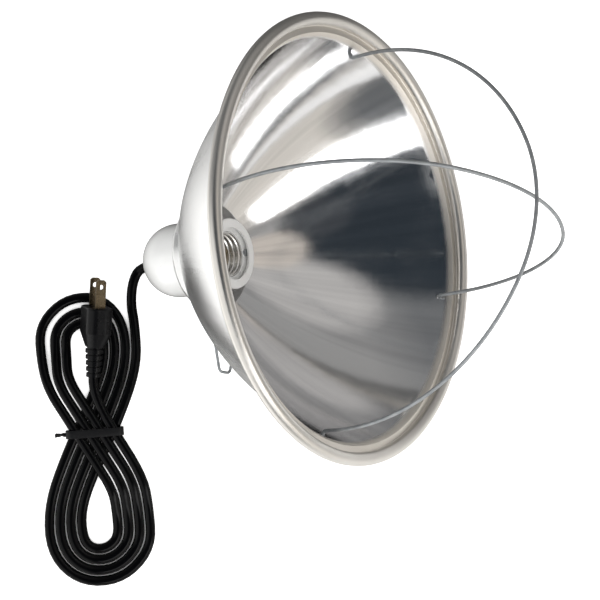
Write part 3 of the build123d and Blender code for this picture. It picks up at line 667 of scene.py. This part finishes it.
def makeStrip(name, finish):
    s = stripSet
    paint, tree, shader = startPaint(name, {"Metallic": 1.0})
    cloud = placeGroup(tree, mottle, s["mottle"])
    touch = placeGroup(tree, handling, s["touch"])
    cover = rangeNode(tree, cloud["Cloud"], *noiseSpan, *s["tarnish"])
    tarnish = mathNode(tree, "MULTIPLY", touch["Smudge"], cover)
    feed(tree, shader.inputs["Base Color"], mixColour(tree, tarnish, finish["light"], finish["dark"]))
    roughLow, roughHigh = [finish["rough"] + swing for swing in s["roughSwing"]]
    rough = rangeNode(tree, cloud["Grain"], *noiseSpan, roughLow, roughHigh)
    feed(tree, shader.inputs["Roughness"], rough)
    addBump(tree, shader, cloud["Grain"], *s["bump"])
    return paint


# moulded and drawn plastics and rubber, with a little dust on top
mouldedSet = {
    "mottle": {"Coarse": 120.0, "Fine": 2400.0},
    "touch": {"Size": 110.0, "Cover": 0.45},
    "dustShare": 0.35,
    "roughSwing": (-0.05, 0.07),
    "smudgeRough": 0.06,
    "bump": 0.2,
}
mouldedFinishes = {
    "blackPvc": {"colour": (0.0012, 0.0012, 0.0015), "dusty": (0.006, 0.006, 0.006), "rough": 0.16,
                 "grain": 0.02 * mm, "gloss": 0.14},
    "plugPvc": {"colour": (0.002, 0.002, 0.0025), "dusty": (0.01, 0.01, 0.01), "rough": 0.28,
                "grain": 0.06 * mm, "gloss": 0.20},
    "blackRubber": {"colour": (0.02, 0.02, 0.02), "dusty": (0.12, 0.12, 0.12), "rough": 0.62,
                    "grain": 0.08 * mm, "gloss": 0.5},
    "tiePlastic": {"colour": (0.005, 0.005, 0.0055), "dusty": (0.03, 0.03, 0.03), "rough": 0.42,
                   "grain": 0.05 * mm, "gloss": 0.28},
    "coreBlack": {"colour": (0.02, 0.02, 0.02), "dusty": (0.10, 0.10, 0.10), "rough": 0.40,
                  "grain": 0.03 * mm, "gloss": 0.5},
    "coreWhite": {"colour": (0.80, 0.80, 0.78), "dusty": (0.62, 0.61, 0.58), "rough": 0.40,
                  "grain": 0.03 * mm, "gloss": 0.5},
}


def makeMoulded(name, finish):
    s = mouldedSet
    paint, tree, shader = startPaint(name, {"Specular IOR Level": finish["gloss"]})
    cloud = placeGroup(tree, mottle, s["mottle"])
    touch = placeGroup(tree, handling, s["touch"])
    dust = mathNode(tree, "MULTIPLY", touch["Dust"], s["dustShare"])
    feed(tree, shader.inputs["Base Color"], mixColour(tree, dust, finish["colour"], finish["dusty"]))
    roughLow, roughHigh = [finish["rough"] + swing for swing in s["roughSwing"]]
    base = rangeNode(tree, cloud["Cloud"], *noiseSpan, roughLow, roughHigh)
    addRough(tree, shader, base, touch["Smudge"], s["smudgeRough"])
    addBump(tree, shader, cloud["Grain"], s["bump"], finish["grain"])
    return paint


# pressed fibre: brown, with short flecks
fibreSet = {
    "dark": (0.33, 0.25, 0.18),
    "light": (0.50, 0.41, 0.31),
    "rough": 0.8,
    "mottle": {"Coarse": 400.0, "Fine": 3000.0},
    "bump": (0.4, 0.1 * mm),
}


def makeFibre():
    s = fibreSet
    paint, tree, shader = startPaint("pressedFibre", {"Roughness": s["rough"]})
    cloud = placeGroup(tree, mottle, s["mottle"])
    colour = mixColour(tree, rangeNode(tree, cloud["Cloud"], *noiseCore), s["dark"], s["light"])
    feed(tree, shader.inputs["Base Color"], colour)
    addBump(tree, shader, cloud["Grain"], *s["bump"])
    return paint


paints = {
    "spunAluminium": makeSpunAluminium(),
    "zincWire": makeZinc(),
    "whiteGlaze": makeGlaze(),
    "pressedFibre": makeFibre(),
}
for finishName, finish in stripFinishes.items():
    paints[finishName] = makeStrip(finishName, finish)
for finishName, finish in mouldedFinishes.items():
    paints[finishName] = makeMoulded(finishName, finish)
nodePaints = {
    "spunAluminium": ["reflector"],
    "zincWire": ["outer_guard_wire", "inner_guard_wire", "hanging_ring", "hanger_strap", "hanger_rivets",
                 "cap_screws", "live_terminal_screw", "neutral_terminal_screw"],
    "whiteGlaze": ["retaining_ring", "socket_body", "socket_cap"],
    "platedShell": ["screw_shell"],
    "brassStrip": ["contact_base", "centre_contact", "contact_rivet", "shell_rivet", "live_terminal",
                   "neutral_terminal"],
    "bladeBrass": ["plug_blade_live", "plug_blade_neutral"],
    "blackPvc": ["cord_lead", "cord_hank", "cord_tail"],
    "plugPvc": ["plug_body"],
    "blackRubber": ["cord_bushing"],
    "tiePlastic": ["hank_tie"],
    "coreBlack": ["live_conductor"],
    "coreWhite": ["neutral_conductor"],
    "pressedFibre": ["insulating_disc", "socket_gasket"],
}
for paintName, nodeNames in nodePaints.items():
    for nodeName in nodeNames:
        mesh = nodes[nodeName].data
        for index in range(len(mesh.materials)):
            mesh.materials[index] = paints[paintName]
mainsCord.data.materials.append(paints["blackPvc"])
waistTie.data.materials.append(paints["tiePlastic"])
print("finishes:", len(paints), "on", sum(len(n) for n in nodePaints.values()), "nodes")

# floor: white to the eye, but the bowl mirrors it with painted shade behind the lamp and a painted shadow
# under it, and lit far left
floorSet = {
    "half": 4.0,
    "rough": 0.9,
    "colour": (0.90, 0.895, 0.885),
    "paintedShadeBackColour": (0.12, 0.12, 0.12),
    "backStart": (0.06, 0.20),
    "paintedShadowColour": (0.03, 0.03, 0.03),
    "underReach": 400.0 * mm,
    "underEdge": (0.66, 0.84),
    "gapReach": 12.0 * mm,
    "gapEdge": (0.2, 0.5),
    "skySamples": 8,
    "glowColour": (1.0, 1.0, 1.0),
    "seenGlow": (0.85, 1.0),
    "nearGlow": 0.04,
    "leftGlow": 0.42,
    "leftStart": (-0.16, -0.32),
}


# 1 where nothing stands within reach over the floor, 0 where it is shut in
def openShare(tree, reach, edge):
    node = newNode(tree, "ShaderNodeAmbientOcclusion", samples=floorSet["skySamples"])
    node.inputs["Distance"].default_value = reach
    return rangeNode(tree, node.outputs["AO"], *edge)


def makeFloorPaint():
    s = floorSet
    paint, tree, shader = startPaint("floorPaint", {"Roughness": s["rough"]})
    place = newNode(tree, "ShaderNodeSeparateXYZ")
    feed(tree, place.inputs["Vector"], objectPlace(tree))
    seen = newNode(tree, "ShaderNodeLightPath").outputs["Is Camera Ray"]
    # painted shade: the floor's colour goes dark behind the lamp; the glow the camera sees keeps it white to
    # the eye
    backShare = rangeNode(tree, place.outputs["Y"], *s["backStart"])
    tint = mixColour(tree, backShare, s["colour"], s["paintedShadeBackColour"])
    # painted shadow: the colour the bowl mirrors goes dark where the lamp stands over the floor
    clear = openShare(tree, s["underReach"], s["underEdge"])
    mirrored = mixColour(tree, clear, s["paintedShadowColour"], tint)
    feed(tree, shader.inputs["Base Color"], mixColour(tree, seen, mirrored, tint))
    nearGlow = rangeNode(tree, backShare, 0.0, 1.0, s["nearGlow"], 0.0)
    leftGlow = rangeNode(tree, place.outputs["X"], *s["leftStart"], 0.0, s["leftGlow"])
    seenGlow = rangeNode(tree, backShare, 0.0, 1.0, *s["seenGlow"])
    glow = mixValue(tree, seen, mathNode(tree, "ADD", nearGlow, leftGlow), seenGlow)
    # painted shade: the floor's glow is cut out in narrow gaps between the turns of the cord
    outside = openShare(tree, s["gapReach"], s["gapEdge"])  # narrow gaps between turns stay dark
    feed(tree, shader.inputs["Emission Color"], s["glowColour"])
    feed(tree, shader.inputs["Emission Strength"], mathNode(tree, "MULTIPLY", glow, outside))
    return paint


floorMesh = bmesh.new()
bmesh.ops.create_grid(floorMesh, x_segments=1, y_segments=1, size=floorSet["half"])
studioFloor = finishMesh("studioFloor", floorMesh, smooth=False)
studioFloor.data.materials.append(makeFloorPaint())

# room: grey, with soft patches on its walls and ceiling, each laid over the ones before it
roomColour = (0.30, 0.297, 0.292)
roomPatches = {
    "shade": {"colour": (0.16, 0.165, 0.17), "way": (-1.0, 0.0, 0.0), "edge": (-0.28, 0.05)},
    "screen": {"colour": (0.72, 0.68, 0.62), "way": (0.63, -0.75, 0.21), "edge": (0.77, 0.93)},
    "skirting": {"colour": (0.15, 0.155, 0.16), "way": (0.05, -0.975, 0.21), "edge": (0.92, 0.98)},
    "ceiling": {"colour": (0.028, 0.036, 0.045), "way": (-0.257, -0.171, 0.951), "edge": (0.64, 0.77)},
    "beam": {"colour": (0.054, 0.060, 0.068), "way": (0.386, -0.268, 0.883), "edge": (0.972, 0.983)},
    "fill": {"colour": (0.51, 0.495, 0.48), "way": (0.487, 0.518, 0.703), "edge": (0.906, 0.956)},
    "glint": {"colour": (0.60, 0.545, 0.49), "way": (0.629, 0.032, 0.777), "edge": (0.964, 0.980)},
    "wall": {"colour": (1.05, 1.05, 1.04), "way": (-0.84, -0.42, 0.34), "edge": (0.66, 0.80)},
}
world = bpy.data.worlds.new("studio")
world.use_nodes = True
sky = world.node_tree
skyWay = newNode(sky, "ShaderNodeTexCoord").outputs["Generated"]
skyColour = roomColour
for patch in roomPatches.values():
    toPatch = vectorNode(sky, "DOT_PRODUCT", skyWay, Vector(patch["way"]).normalized())
    patchShare = rangeNode(sky, toPatch, *patch["edge"])
    skyColour = mixColour(sky, patchShare, skyColour, patch["colour"])
feed(sky, sky.nodes["Background"].inputs["Color"], skyColour)
bpy.context.scene.world = world
bpy.context.scene.view_settings.view_transform = "Standard"

# lights: a long panel on the right-hand side, and a soft one overhead that metal doesn't mirror
studioLights = {
    "longPanel": {"place": (0.484, -1.164, 1.065), "aim": (0, 0, 0.08), "size": (1.7, 0.52),
                  "power": 8, "mirrored": True},
    "softFill": {"place": (-0.35, -0.25, 1.55), "aim": (-0.03, 0, 0.05), "size": (1.5, 1.5),
                 "power": 18, "mirrored": False},
}
for lightName, light in studioLights.items():
    data = bpy.data.lights.new(lightName, "AREA")
    data.shape = "RECTANGLE"
    data.size, data.size_y = light["size"]
    data.energy = light["power"]
    panel = addObject(lightName, data)
    panel.location = light["place"]
    panel.visible_glossy = light["mirrored"]
    aim = Vector(light["aim"]) - Vector(light["place"])
    panel.rotation_euler = aim.to_track_quat("-Z", "Y").to_euler()
print("stage: floor, room and", len(studioLights), "lights")
